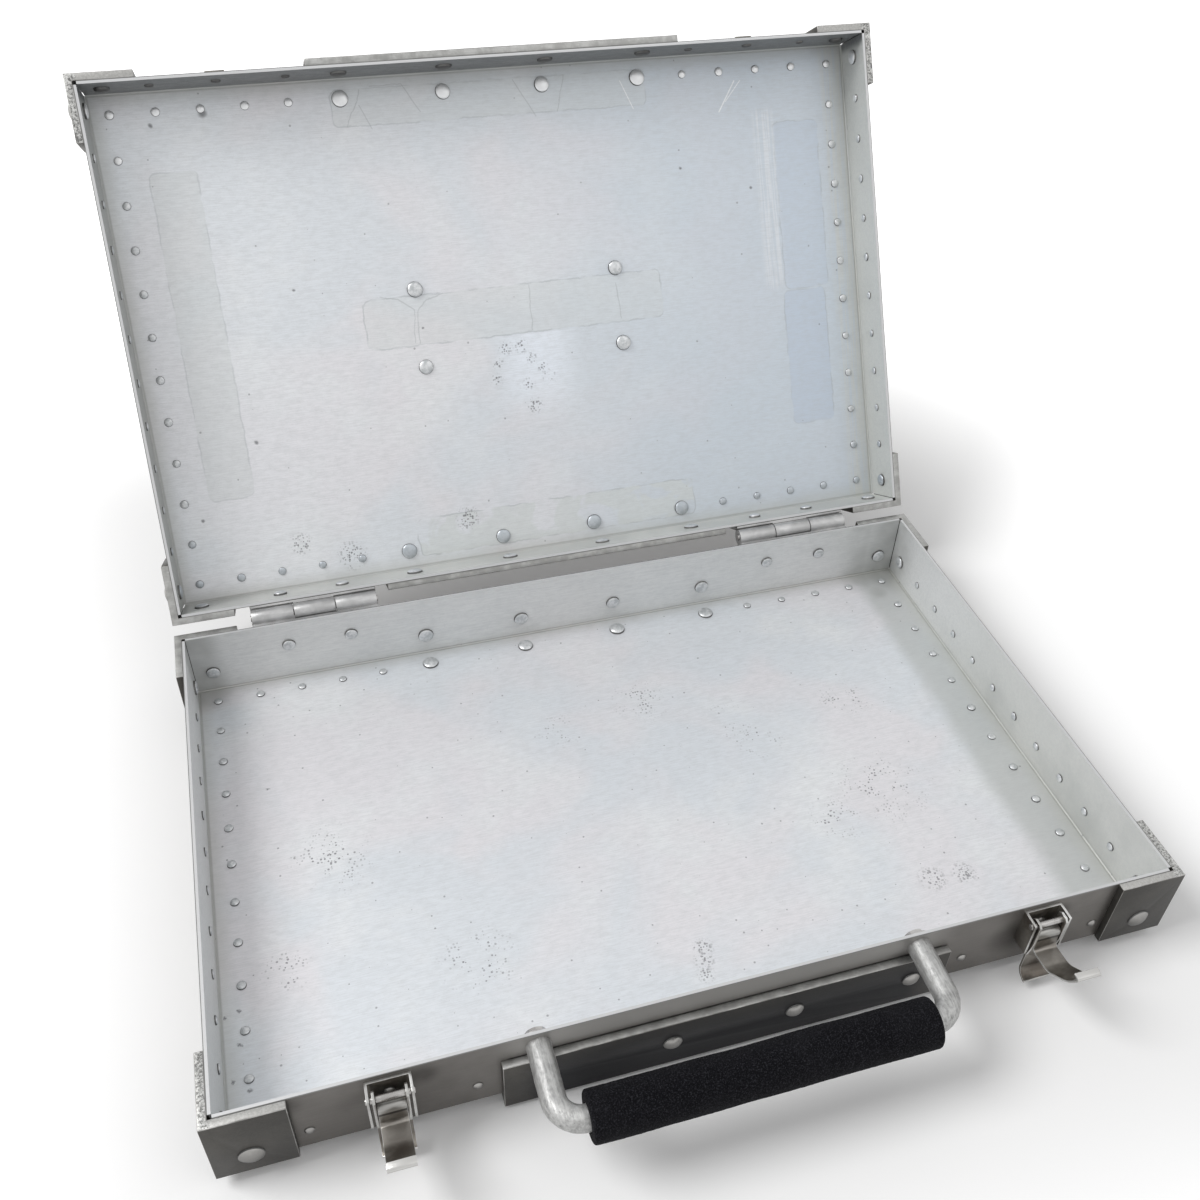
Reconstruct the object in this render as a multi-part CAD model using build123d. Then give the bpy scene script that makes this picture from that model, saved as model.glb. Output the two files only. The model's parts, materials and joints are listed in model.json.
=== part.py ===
from build123d import *
from math import cos, radians, sin
import os

# Riveted sheet aluminium briefcase, lying open on its base. Sizes are in millimetres.
# While it is built, x = 0 and y = 0 are the middle of the base, z = 0 is the underside of
# the base floor, the handle faces -Y and the lid is modelled shut. At the end the lid is
# swung open and everything is moved so that the origin is under the middle of the whole.

# Case: two nested folded trays in each half
case_width = 470.0
case_depth = 300.5
base_height = 44.9
lid_height = 32.7
rim_gap = 0.5
sheet = 0.9
fold = 1.6
corner_relief = 2.1
open_angle = 119.4

# Angle stock
angle_thickness = 4.0
corner_leg = 36.0
corner_end_gap = 0.8
floor_leg = 36.0
lid_wall_leg = 36.0

# Facets of small round work that nothing turns in or on; there is a lot of it
head_facets = 6
shank_facets = 4
hardware_facets = 12

# Rivets
rivet_head = 9.6
corner_rivet_head = 12.0
hinge_rivet_head = 8.0
latch_rivet_head = 6.0
rivet_head_height = 2.4
latch_rivet_head_height = 1.5
rivet_shank = 4.8
latch_rivet_shank = 3.2
head_slope = 38
row_inset = 13.1
centre_rivet_inset = 18.95
centre_rivet_count = 4
front_rivet_height = 14.3
back_rivet_height = 16.0
side_rivet_height = 16.6
lid_rivet_height = 14.5
panel_rivet_span_x = 129.2
panel_rivet_span_y = 47.4

# Hinges, each between a corner angle and the centre angle
hinge_length = 75.0
hinge_corner_gap = 9.0
hinge_centre_gap = 7.8
hinge_offset = 7.4
leaf_thickness = 3.0
leaf_height = 24.0
web_height = 8.0
barrel_diameter = 10.4
hinge_pin_diameter = 4.0
hinge_pin_end = 0.5
knuckle_gap = 0.3
knuckle_clearance = 0.5
hinge_rivet_inset = 18.7
base_hinge_rivet_drop = 17.0
running_clearance = 0.05

# Handle
handle_height = 36.2
handle_rod_diameter = 11.8
handle_arm_inset = 17.2
handle_reach = 38.0
handle_bend = 12.0
handle_rod_facets = 16
handle_bend_steps = 5
grip_diameter = 23.8
grip_end_gap = 0.2
stud_diameter = 6.0
stud_end_gap = 0.4
stud_hole_clearance = 0.2
nut_diameter = 11.5
nut_height = 3.0
washer_diameter = 16.0
washer_thickness = 1.2
plate_rod_gap = 0.3

# Latches: out is measured from the front wall
latch_inset = 74.3
bracket_width = 20.4
bracket_reach = 9.5
bracket_bottom = 19.5
bracket_top = 42.2
bracket_sheet = 1.2
bracket_rivet_height = 32.0
lever_pin_out = 7.3
lever_pin_height = 39.4
lever_pin_diameter = 3.0
lever_pin_end = 0.6
lever_width = 15.6
lever_sheet = 1.2
lever_out = 8.2
lever_top = 27.0
lever_bottom = 6.5
lever_flare = 6.0
ear_radius = 3.3
ear_chamfer = 1.6
ear_bottom = 17.0
claw_pin_out = 7.6
claw_pin_drop = 7.2
claw_pin_diameter = 2.8
claw_side_gap = 0.3
claw_sheet = 1.1
claw_roll = 2.6
claw_heel_drop = 10.4
claw_heel_bend = 2.5
claw_shelf_out = 15.4
claw_shelf_rise = 1.0
claw_shelf_bend = 10.0
claw_arm_out = 27.4
claw_arm_rise = 11.0
claw_arm_bend = 20.0
claw_tip_out = 33.0
claw_tip_rise = 20.2
claw_tip_bend = 1.0
claw_lip = 3.8
claw_lip_rise = 0.5

# Catches on the lid, measured up from the lid's rim
catch_width = 11.0
catch_sheet = 1.2
catch_bottom = 9.5
catch_top = 19.0
catch_reach = 4.4
catch_lip_rise = 1.2
catch_rivet_height = 14.0

# Worked out from the sizes above
half_x = case_width / 2
half_y = case_depth / 2
skin = 2 * sheet
inner_fold = fold - (2 - 2**0.5) * sheet
rim_z = base_height
lid_rim_z = rim_z + rim_gap
lid_top_z = lid_rim_z + lid_height
hinge_y = half_y + hinge_offset
hinge_z = rim_z + rim_gap / 2
barrel_radius = barrel_diameter / 2
knuckle_length = hinge_length / 3
hinge_x = half_x + angle_thickness - corner_leg - hinge_corner_gap - hinge_length / 2
hinge_rivet_pitch = hinge_length - 2 * hinge_rivet_inset
centre_angle_length = 2 * (hinge_x - hinge_length / 2 - hinge_centre_gap)
centre_rivet_pitch = (centre_angle_length - 2 * centre_rivet_inset) / (centre_rivet_count - 1)
handle_arm_x = centre_angle_length / 2 - handle_arm_inset
latch_x = half_x - latch_inset
rod_radius = handle_rod_diameter / 2
plate_top = handle_height - rod_radius - plate_rod_gap
column_x = half_x - row_inset
row_y = half_y - row_inset
head_drop = angle_thickness + rivet_head_height
outward = {"front": (0, -1, 0), "back": (0, 1, 0), "left": (-1, 0, 0), "right": (1, 0, 0)}
sides = {"left": -1, "right": 1}


def block(x_range, y_range, z_range):
    """Box between two corners, given as a low and a high value for each axis."""
    ranges = (x_range, y_range, z_range)
    size = [high - low for low, high in ranges]
    middle = [(low + high) / 2 for low, high in ranges]
    return Pos(*middle) * Box(*size)


def upright(side, origin=(0, 0, 0)):
    """Plane that stands across one side of the case: x is outward and y is up."""
    x_dir = Vector(*outward[side])
    return Plane(origin=origin, x_dir=x_dir, z_dir=x_dir.cross(Vector(0, 0, 1)))


def strip(plane, path, width, thickness):
    """Flat strip bent along a path that is drawn in the plane; its width is square to it."""
    run = plane * path
    section = Plane(origin=run @ 0, x_dir=plane.z_dir, z_dir=run % 0) * Rectangle(width, thickness)
    return sweep(section, path=run, transition=Transition.RIGHT)


def across(plane, outline, width):
    """Solid with the outline drawn in the plane and the width centred on it."""
    return extrude(plane * make_face(outline), width / 2, both=True)


def rod_along_x(x_low, x_high, y, z, diameter):
    """Round rod parallel to X."""
    plane = Plane(origin=(x_low, y, z), x_dir=(0, 1, 0), z_dir=(1, 0, 0))
    return extrude(plane * Circle(diameter / 2), x_high - x_low)


def prism(diameter, length):
    """Faceted bar from z = 0 that just holds a round bar of the given diameter."""
    return extrude(RegularPolygon(diameter / 2, hardware_facets, major_radius=False), length)


def tray(inset, wall_top, chamfer):
    """One sheet folded up on four sides, inset by the sheets outside it, with open corners."""
    far_x = half_x - corner_relief
    far_y = half_y - corner_relief
    edge_x = half_x - inset - chamfer
    edge_y = half_y - inset - chamfer
    floor_range = (inset, inset + sheet)
    folded = block((-edge_x, edge_x), (-far_y, far_y), floor_range)
    folded += block((-far_x, far_x), (-edge_y, edge_y), floor_range)
    slack = (2**0.5 - 1) * sheet
    for side in outward:
        reach, length = (half_y, far_x) if side in ("front", "back") else (half_x, far_y)
        wall = reach - inset
        outline = Polyline(
            (wall - chamfer, inset),
            (wall, inset + chamfer),
            (wall, wall_top),
            (wall - sheet, wall_top),
            (wall - sheet, inset + chamfer + slack),
            (wall - chamfer - slack, inset + sheet),
            (wall - chamfer - slack, inset),
            close=True,
        )
        folded += across(upright(side), outline, 2 * length)
    return folded


def head(diameter, height):
    """Low button head, flat on top, standing on the plane z = 0."""
    return extrude(RegularPolygon(diameter / 2, head_facets), height, taper=head_slope)


def rivet(grip, diameter, height, shank):
    """Set rivet that clamps everything from z = -grip to z = 0 between two heads."""
    formed = Pos(0, 0, -grip) * mirror(head(diameter, height), about=Plane.XY)
    pin = Pos(0, 0, -grip) * extrude(RegularPolygon(shank / 2, shank_facets), grip)
    return head(diameter, height) + pin + formed


def rivets(places, grip, diameter, height=rivet_head_height, shank=rivet_shank):
    """A set rivet at each place, a plane on the outer face with its z outward."""
    one = rivet(grip, diameter, height, shank)
    return [place * one for place in places]


def rivet_holes(places, grip, shank=rivet_shank):
    """Cutters for the holes that those rivets fill."""
    length = grip + 2
    cutter = Pos(0, 0, 1 - length) * extrude(RegularPolygon(shank / 2, shank_facets), length)
    return [place * cutter for place in places]


def wall_place(side, along, out, up):
    """Place on one side: along the wall, out from the middle of the case, and up."""
    x_dir = Vector(*outward[side])
    run = Vector(abs(x_dir.Y), abs(x_dir.X), 0)
    return Plane(origin=x_dir * out + run * along + Vector(0, 0, up), x_dir=run, z_dir=x_dir)


def floor_place(x, y, z):
    """Place on the underside of a floor, facing down."""
    return Plane(origin=(x, y, z), x_dir=(1, 0, 0), z_dir=(0, 0, -1))


def centre_rivet_xs():
    """Places of the large rivets along a centre angle."""
    first = -centre_rivet_pitch * (centre_rivet_count - 1) / 2
    return [first + centre_rivet_pitch * index for index in range(centre_rivet_count)]


def corner_angle(x_side, y_side, height):
    """Upright length of angle round one corner."""
    x_out = half_x + angle_thickness
    y_out = half_y + angle_thickness
    z_range = (corner_end_gap, height)
    legs = block((x_out - corner_leg, x_out), (half_y, y_out), z_range)
    legs += block((half_x, x_out), (y_out - corner_leg, y_out), z_range)
    if x_side < 0:
        legs = mirror(legs, about=Plane.YZ)
    if y_side < 0:
        legs = mirror(legs, about=Plane.XZ)
    return legs


def centre_angle(side, wall_top):
    """Length of angle under the floor edge and up the middle of the front or back wall."""
    foot = half_y + angle_thickness - floor_leg
    outline = Polyline(
        (half_y + angle_thickness, -angle_thickness),
        (half_y + angle_thickness, wall_top),
        (half_y, wall_top),
        (half_y, 0),
        (foot, 0),
        (foot, -angle_thickness),
        close=True,
    )
    return across(upright(side), outline, centre_angle_length)


def half_case(prefix, height, centre_top, rivet_heights):
    """Trays, angles and their rivets for one half, lying open side up with its floor at z = 0."""
    pieces = {
        prefix + "_outer_tray": tray(0, height, fold),
        prefix + "_inner_tray": tray(sheet, height, inner_fold),
    }
    grip = angle_thickness + skin
    corner_places = []
    for x_name, x_side in sides.items():
        for y_name, y_side in (("front", -1), ("back", 1)):
            front = wall_place(y_name, x_side * column_x, half_y + angle_thickness, rivet_heights[y_name])
            flank = wall_place(x_name, y_side * row_y, half_x + angle_thickness, rivet_heights["side"])
            angle = corner_angle(x_side, y_side, height) - rivet_holes([front, flank], grip)
            pieces[f"{prefix}_corner_angle_{y_name}_{x_name}"] = angle
            corner_places += [front, flank]
    wall_places = []
    floor_places = []
    for side, y_side in (("front", -1), ("back", 1)):
        walls = [
            wall_place(side, x, half_y + angle_thickness, rivet_heights[side]) for x in centre_rivet_xs()
        ]
        floors = [floor_place(x, y_side * row_y, -angle_thickness) for x in centre_rivet_xs()]
        pieces[f"{prefix}_centre_angle_{side}"] = centre_angle(side, centre_top) - rivet_holes(
            walls + floors, grip
        )
        wall_places += walls
        floor_places += floors
    for layer in ("_outer_tray", "_inner_tray"):
        pieces[prefix + layer] -= rivet_holes(corner_places + wall_places + floor_places, grip)
    pieces[prefix + "_corner_rivets"] = rivets(corner_places, grip, corner_rivet_head)
    pieces[prefix + "_wall_rivets"] = rivets(wall_places, grip, rivet_head)
    pieces[prefix + "_floor_rivets"] = rivets(floor_places, grip, rivet_head)
    return pieces


def hinge_places(up):
    """Rivet places of both hinges on the back wall."""
    out = half_y + leaf_thickness
    return [
        wall_place("back", x_side * hinge_x + step * hinge_rivet_pitch / 2, out, up)
        for x_side in sides.values()
        for step in (-1, 1)
    ]


def hinge_leaf(centre_x, knuckles, places, bore):
    """Base leaf of a hinge: plate, gussets and the listed knuckles, counted from 0 to 2."""
    start = centre_x - hinge_length / 2
    spans = []
    for index in range(3):
        low = start + index * knuckle_length + knuckle_gap / 2
        spans.append((low, low + knuckle_length - knuckle_gap))
    plate_out = (half_y, half_y + leaf_thickness)
    leaf = block((start, start + hinge_length), plate_out, (rim_z - leaf_height, rim_z))
    for index, span in enumerate(spans):
        width = span[1] - span[0]
        if index in knuckles:
            gusset = Polyline(
                (half_y, rim_z - web_height),
                (half_y + leaf_thickness, rim_z - web_height),
                (hinge_y, hinge_z - barrel_radius),
                (hinge_y, rim_z),
                (half_y, rim_z),
                close=True,
            )
            leaf += across(upright("back", ((span[0] + span[1]) / 2, 0, 0)), gusset, width)
            leaf += rod_along_x(*span, hinge_y, hinge_z, barrel_diameter)
        else:
            room = (span[0] - knuckle_gap, span[1] + knuckle_gap)
            leaf -= rod_along_x(*room, hinge_y, hinge_z, barrel_diameter + 2 * knuckle_clearance)
    end = Plane(origin=(start - 1, hinge_y, hinge_z), x_dir=(0, 1, 0), z_dir=(1, 0, 0))
    return leaf - end * bore - rivet_holes(places, leaf_thickness)


def handle():
    """Bent rod with a stud turned on each end, its foam sleeve, nuts and washers."""
    grip_y = -half_y - handle_reach
    centre_x = handle_arm_x - handle_bend
    bend = []
    for step in range(handle_bend_steps + 1):
        turn = radians(90 * step / handle_bend_steps)
        bend.append((centre_x + handle_bend * cos(turn), -handle_reach + handle_bend * (1 - sin(turn))))
    left_bend = [(-x, y) for x, y in reversed(bend)]
    flat = Plane(origin=(0, -half_y, handle_height), x_dir=(1, 0, 0), z_dir=(0, 0, 1))
    path = flat * Polyline((handle_arm_x, 0), *bend, *left_bend, (-handle_arm_x, 0))
    section = RegularPolygon(rod_radius, handle_rod_facets)
    rod = sweep(Plane(origin=path @ 0, z_dir=path % 0) * section, path=path, transition=Transition.RIGHT)
    reach = centre_x - grip_end_gap
    sleeve = rod_along_x(-reach, reach, grip_y, handle_height, grip_diameter)
    bore = handle_rod_diameter + 2 * running_clearance
    sleeve -= rod_along_x(-reach - 1, reach + 1, grip_y, handle_height, bore)
    nuts = []
    washers = []
    for x_side in sides.values():
        seat = wall_place("front", x_side * handle_arm_x, half_y, handle_height)
        length = skin + washer_thickness + nut_height - stud_end_gap
        rod += seat * Pos(0, 0, -length) * prism(stud_diameter, length)
        tapped = prism(stud_diameter + 2 * running_clearance, nut_height + 2)
        nut = extrude(RegularPolygon(nut_diameter / 2, 6), nut_height) - Pos(0, 0, -1) * tapped
        nuts.append(seat * Pos(0, 0, -skin - washer_thickness - nut_height) * nut)
        hole = Pos(0, 0, -1) * prism(stud_diameter + 2 * stud_hole_clearance, washer_thickness + 2)
        ring = prism(washer_diameter, washer_thickness) - hole
        washers.append(seat * Pos(0, 0, -skin - washer_thickness) * ring)
    return {"handle_rod": rod, "handle_grip": sleeve, "handle_nuts": nuts, "handle_washers": washers}


def handle_holes():
    """Cutters for the stud holes through the front wall."""
    hole = Pos(0, 0, -skin - 1) * prism(stud_diameter + 2 * stud_hole_clearance, skin + 2)
    arms = [x_side * handle_arm_x for x_side in sides.values()]
    return [wall_place("front", x, half_y, handle_height) * hole for x in arms]


def latch_plane(x):
    """Upright plane on the front wall at a latch: x is out from the wall and y is up."""
    return upright("front", (x, -half_y, 0))


def pin_hole(x, width, out, up, diameter):
    """Cutter across a latch for a pin that turns in it."""
    return rod_along_x(x - width / 2 - 1, x + width / 2 + 1, -half_y - out, up, diameter)


def pin_seat(x, width, out, up, diameter):
    """Cutter across a latch for a pin that is fixed in it."""
    place = Plane(origin=(x - width / 2 - 1, -half_y - out, up), x_dir=(0, 1, 0), z_dir=(1, 0, 0))
    return place * prism(diameter, width + 2)


def latch_bracket(x, rivet_place):
    """U-shaped bracket: web on the wall and two legs that carry the lever pin."""
    flat = Plane(origin=(x, -half_y, bracket_bottom), x_dir=(1, 0, 0), z_dir=(0, 0, 1))
    middle = bracket_width / 2 - bracket_sheet / 2
    path = Polyline(
        (-middle, -bracket_reach),
        (-middle, -bracket_sheet / 2),
        (middle, -bracket_sheet / 2),
        (middle, -bracket_reach),
    )
    height = bracket_top - bracket_bottom
    channel = Pos(0, 0, height / 2) * strip(flat, path, height, bracket_sheet)
    channel -= pin_seat(x, bracket_width, lever_pin_out, lever_pin_height, lever_pin_diameter)
    return channel - rivet_holes([rivet_place], bracket_sheet, latch_rivet_shank)


def latch_lever(x):
    """Lever: flared plate that lies along the wall, between two ears that hold both pins."""
    plane = latch_plane(x)
    inner = lever_width - 2 * lever_sheet
    path = Line((lever_out, lever_top), (lever_out, lever_bottom))
    path += JernArc((lever_out, lever_bottom), (0, -1), lever_flare, 90)
    plate = strip(plane, path, lever_width, lever_sheet)
    front = lever_pin_out + ear_radius
    back = lever_pin_out - ear_radius
    face = lever_out + lever_sheet / 2
    ear_top = lever_pin_height + ear_radius
    outline = Polyline(
        (back, ear_top - ear_chamfer),
        (back + ear_chamfer, ear_top),
        (front - ear_chamfer, ear_top),
        (front, ear_top - ear_chamfer),
        (front, lever_top),
        (face, ear_bottom),
        (face - lever_sheet, ear_bottom),
        (back, lever_top),
        close=True,
    )
    ears = across(plane, outline, lever_width) - across(plane, outline, inner)
    lever = plate + ears
    bore = lever_pin_diameter + 2 * running_clearance
    lever -= pin_hole(x, lever_width, lever_pin_out, lever_pin_height, bore)
    claw_pin_height = lever_pin_height - claw_pin_drop
    return lever - pin_seat(x, lever_width, claw_pin_out, claw_pin_height, claw_pin_diameter)


def latch_claw(x):
    """Claw: a strip rolled round its pin, bent out and up to a lip turned back to the wall."""
    plane = latch_plane(x)
    width = lever_width - 2 * lever_sheet - 2 * claw_side_gap
    height = lever_pin_height - claw_pin_drop
    blade_out = claw_pin_out + claw_roll - claw_sheet / 2
    heel = height - claw_heel_drop
    tip = (claw_pin_out + claw_tip_out, heel + claw_tip_rise)
    path = FilletPolyline(
        (blade_out, height),
        (blade_out, heel),
        (claw_pin_out + claw_shelf_out, heel + claw_shelf_rise),
        (claw_pin_out + claw_arm_out, heel + claw_arm_rise),
        tip,
        (tip[0] - claw_lip, tip[1] + claw_lip_rise),
        radius=[claw_heel_bend, claw_shelf_bend, claw_arm_bend, claw_tip_bend],
    )
    low = x - width / 2
    blade = strip(plane, path, width, claw_sheet)
    roll = rod_along_x(low, low + width, -half_y - claw_pin_out, height, 2 * claw_roll)
    bore = claw_pin_diameter + 2 * running_clearance
    return blade + roll - pin_hole(x, width, claw_pin_out, height, bore)


def latch_pins(x):
    """Lever pin, peened outside the bracket, and claw pin, flush with the lever's ears."""
    half = bracket_width / 2 + lever_pin_end
    lever_pin = rod_along_x(x - half, x + half, -half_y - lever_pin_out, lever_pin_height, lever_pin_diameter)
    half = lever_width / 2
    height = lever_pin_height - claw_pin_drop
    claw_pin = rod_along_x(x - half, x + half, -half_y - claw_pin_out, height, claw_pin_diameter)
    return lever_pin, claw_pin


def catch(x, rivet_place):
    """Catch on the lid's front wall: a small plate whose upper edge is turned out to a hook."""
    middle = catch_sheet / 2
    path = Polyline(
        (middle, lid_rim_z + catch_bottom),
        (middle, lid_rim_z + catch_top - catch_lip_rise),
        (catch_reach, lid_rim_z + catch_top),
    )
    plate = strip(latch_plane(x), path, catch_width, catch_sheet)
    return plate - rivet_holes([rivet_place], catch_sheet, latch_rivet_shank)


def shut_lid(shape):
    """Turn a half that lies open side up into a lid shut on the base."""
    return Pos(0, 0, lid_top_z) * mirror(shape, about=Plane.XY)


def build():
    """All pieces with the lid shut: those fixed to the base or latches, and those of the lid."""
    wall_heights = {"front": front_rivet_height, "back": back_rivet_height, "side": side_rivet_height}
    base = half_case("base", base_height, plate_top, wall_heights)
    lid_heights = dict.fromkeys(("front", "back", "side"), lid_height - lid_rivet_height)
    flat_lid = half_case("lid", lid_height, lid_wall_leg - angle_thickness, lid_heights)
    lid = {
        name: [shut_lid(one) for one in piece] if isinstance(piece, list) else shut_lid(piece)
        for name, piece in flat_lid.items()
    }

    hinge_grip = leaf_thickness + skin
    base_hinge = hinge_places(rim_z - base_hinge_rivet_drop)
    lid_hinge = hinge_places(lid_rim_z + lid_rivet_height)
    latch_grip = bracket_sheet + skin
    latch_places = [
        wall_place("front", x_side * latch_x, half_y + bracket_sheet, bracket_rivet_height)
        for x_side in sides.values()
    ]
    catch_grip = catch_sheet + skin
    catch_places = [
        wall_place("front", x_side * latch_x, half_y + catch_sheet, lid_rim_z + catch_rivet_height)
        for x_side in sides.values()
    ]
    panel_places = [
        Plane(origin=(x_side * panel_rivet_span_x / 2, y_side * panel_rivet_span_y / 2, lid_top_z))
        for x_side in (-1, 1)
        for y_side in (-1, 1)
    ]

    for layer in ("base_outer_tray", "base_inner_tray"):
        base[layer] -= rivet_holes(base_hinge, hinge_grip) + handle_holes()
        base[layer] -= rivet_holes(latch_places, latch_grip, latch_rivet_shank)
    for layer in ("lid_outer_tray", "lid_inner_tray"):
        lid[layer] -= rivet_holes(lid_hinge, hinge_grip) + rivet_holes(panel_places, skin)
        lid[layer] -= rivet_holes(catch_places, catch_grip, latch_rivet_shank)

    base["base_hinge_rivets"] = rivets(base_hinge, hinge_grip, hinge_rivet_head)
    lid["lid_hinge_rivets"] = rivets(lid_hinge, hinge_grip, hinge_rivet_head)
    lid["lid_centre_rivets"] = rivets(panel_places, skin, rivet_head)
    latch_rivet_size = (latch_rivet_head, latch_rivet_head_height, latch_rivet_shank)
    base["latch_rivets"] = rivets(latch_places, latch_grip, *latch_rivet_size)
    lid["catch_rivets"] = rivets(catch_places, catch_grip, *latch_rivet_size)
    base.update(handle())

    fixed_bore = prism(hinge_pin_diameter, hinge_length + 2)
    running_bore = extrude(Circle(hinge_pin_diameter / 2 + running_clearance), hinge_length + 2)
    for index, (name, x_side) in enumerate(sides.items()):
        x = x_side * hinge_x
        places = base_hinge[2 * index : 2 * index + 2]
        base["hinge_base_leaf_" + name] = hinge_leaf(x, (0, 2), places, fixed_bore)
        other_half = Pos(0, 0, 2 * hinge_z) * mirror(hinge_leaf(x, (1,), [], running_bore), about=Plane.XY)
        lid["hinge_lid_leaf_" + name] = other_half - rivet_holes(
            lid_hinge[2 * index : 2 * index + 2], leaf_thickness
        )
        reach = hinge_length / 2 + hinge_pin_end
        base["hinge_pin_" + name] = rod_along_x(x - reach, x + reach, hinge_y, hinge_z, hinge_pin_diameter)
        x = x_side * latch_x
        base["latch_bracket_" + name] = latch_bracket(x, latch_places[index])
        base["latch_lever_" + name] = latch_lever(x)
        base["latch_claw_" + name] = latch_claw(x)
        base["lever_pin_" + name], base["claw_pin_" + name] = latch_pins(x)
        lid["catch_" + name] = catch(x, catch_places[index])
    return base, lid


def main():
    """Open the lid, stand everything on the rivet heads under the floor and write it out."""
    base, lid = build()
    swing = Pos(0, hinge_y, hinge_z) * Rot(-open_angle, 0, 0) * Pos(0, -hinge_y, -hinge_z)
    groups = {}
    for name, piece in base.items():
        groups[name] = Compound(list(piece)) if isinstance(piece, list) else piece
    for name, piece in lid.items():
        groups[name] = swing * (Compound(list(piece)) if isinstance(piece, list) else piece)
    whole = Compound(list(groups.values())).bounding_box()
    shift = Pos(0, -(whole.min.Y + whole.max.Y) / 2, head_drop)
    os.makedirs("parts", exist_ok=True)
    for name, piece in groups.items():
        export_step(shift * piece, f"parts/{name}.step")
    middle = shift.position
    print("whole", whole.size, "moved by", middle)
    print("lid hinge", hinge_y + middle.Y, hinge_z + middle.Z)
    print("lever pins", latch_x, middle.Y - half_y - lever_pin_out, lever_pin_height + middle.Z)
    claw_pin_height = lever_pin_height - claw_pin_drop
    print("claw pins", latch_x, middle.Y - half_y - claw_pin_out, claw_pin_height + middle.Z)


main()
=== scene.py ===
import json
import random
from math import asin, cos, hypot, pi, radians, sin, tan

import bmesh
import bpy
from mathutils import Matrix, Vector, noise


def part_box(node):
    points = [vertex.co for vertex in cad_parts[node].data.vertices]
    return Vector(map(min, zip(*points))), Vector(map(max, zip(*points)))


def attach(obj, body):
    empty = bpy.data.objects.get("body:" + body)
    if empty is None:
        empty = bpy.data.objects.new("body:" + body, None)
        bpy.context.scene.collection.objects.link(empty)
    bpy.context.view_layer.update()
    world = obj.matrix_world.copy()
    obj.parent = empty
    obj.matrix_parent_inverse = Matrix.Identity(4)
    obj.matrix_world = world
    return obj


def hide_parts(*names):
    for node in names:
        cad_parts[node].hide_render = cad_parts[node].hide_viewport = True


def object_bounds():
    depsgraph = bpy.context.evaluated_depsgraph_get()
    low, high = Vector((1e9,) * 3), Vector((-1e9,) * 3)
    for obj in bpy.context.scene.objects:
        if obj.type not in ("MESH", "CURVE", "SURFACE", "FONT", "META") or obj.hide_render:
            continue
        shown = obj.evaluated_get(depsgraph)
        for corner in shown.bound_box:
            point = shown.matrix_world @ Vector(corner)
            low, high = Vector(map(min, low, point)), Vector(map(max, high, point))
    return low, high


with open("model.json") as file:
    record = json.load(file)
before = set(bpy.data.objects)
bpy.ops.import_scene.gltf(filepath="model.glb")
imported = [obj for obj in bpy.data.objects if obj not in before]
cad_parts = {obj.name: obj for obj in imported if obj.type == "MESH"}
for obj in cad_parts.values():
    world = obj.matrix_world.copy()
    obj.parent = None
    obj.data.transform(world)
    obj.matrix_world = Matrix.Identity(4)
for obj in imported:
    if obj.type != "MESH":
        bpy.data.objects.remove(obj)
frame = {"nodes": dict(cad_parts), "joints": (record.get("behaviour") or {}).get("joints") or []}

# Riveted sheet aluminium briefcase with its lid open. Everything is in metres, in the row frame.
# Places on each half are given in its own frame: x = 0 and y = 0 are the middle of the half,
# z = 0 is the outside of its floor or panel, and z grows towards its open side.


def joint(name):
    return next(joint for joint in frame["joints"] if joint["name"] == name)


cad_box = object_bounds()
mm = 0.001

# Case, from the frame
tray_low, tray_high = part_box("base_outer_tray")
half_x = tray_high.x
half_y = (tray_high.y - tray_low.y) / 2
case_y = (tray_high.y + tray_low.y) / 2
base_height = tray_high.z - tray_low.z
hinge_point = joint("lid_hinge")["pos_m"]
open_angle = radians(-joint("lid_hinge")["range_deg"][0])

# Sheets and angles
lid_height = 32.7 * mm
rim_gap = 0.5 * mm
skin = 1.8 * mm
angle_thickness = 4 * mm
leaf_thickness = 3 * mm
latch_sheet = 1.2 * mm
heights = {"base": base_height, "lid": lid_height}
# Upper edge of the base's centre angles, from the outside of its floor
centre_angle_top = 30 * mm

# Rivets: first their places, then their sizes
row_inset = 13.1 * mm
centre_rivet_pitch = 61.5 * mm
small_row_first = 122.2 * mm
small_row_pitch = 24.9 * mm
small_row_count = 4
small_column_count = 12
panel_rivet_x = 64.6 * mm
panel_rivet_y = 23.7 * mm
wall_rivet_heights = {
    "base": {"front": 14.3 * mm, "back": 16 * mm, "side": 16.6 * mm},
    "lid": {"front": 18.2 * mm, "back": 18.2 * mm, "side": 18.2 * mm},
}
hinge_x = 156.5 * mm
hinge_rivet_step = 18.8 * mm
hinge_rivet_heights = {"base": base_height - 17 * mm, "lid": 18.2 * mm}
latch_x = 160.7 * mm
latch_rivet_heights = {"base": 32 * mm, "lid": 18.7 * mm}
rivet_head = 9.6 * mm
corner_rivet_head = 12 * mm
corner_inner_head = 8.8 * mm
hinge_rivet_head = 8 * mm
latch_rivet_head = 6 * mm
small_rivet_head = 5 * mm
# Height of the head, then diameter of the shank
large_rivet = (2.4 * mm, 4.8 * mm)
latch_rivet = (1.5 * mm, 3.2 * mm)
small_rivet = (1.4 * mm, 3 * mm)
head_steps = 6
head_bulge = 0.7
head_sunk = 0.04 * mm
rivet_segments = 28
any_turn = 6.28
first_rivet_seed = 11

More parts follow.
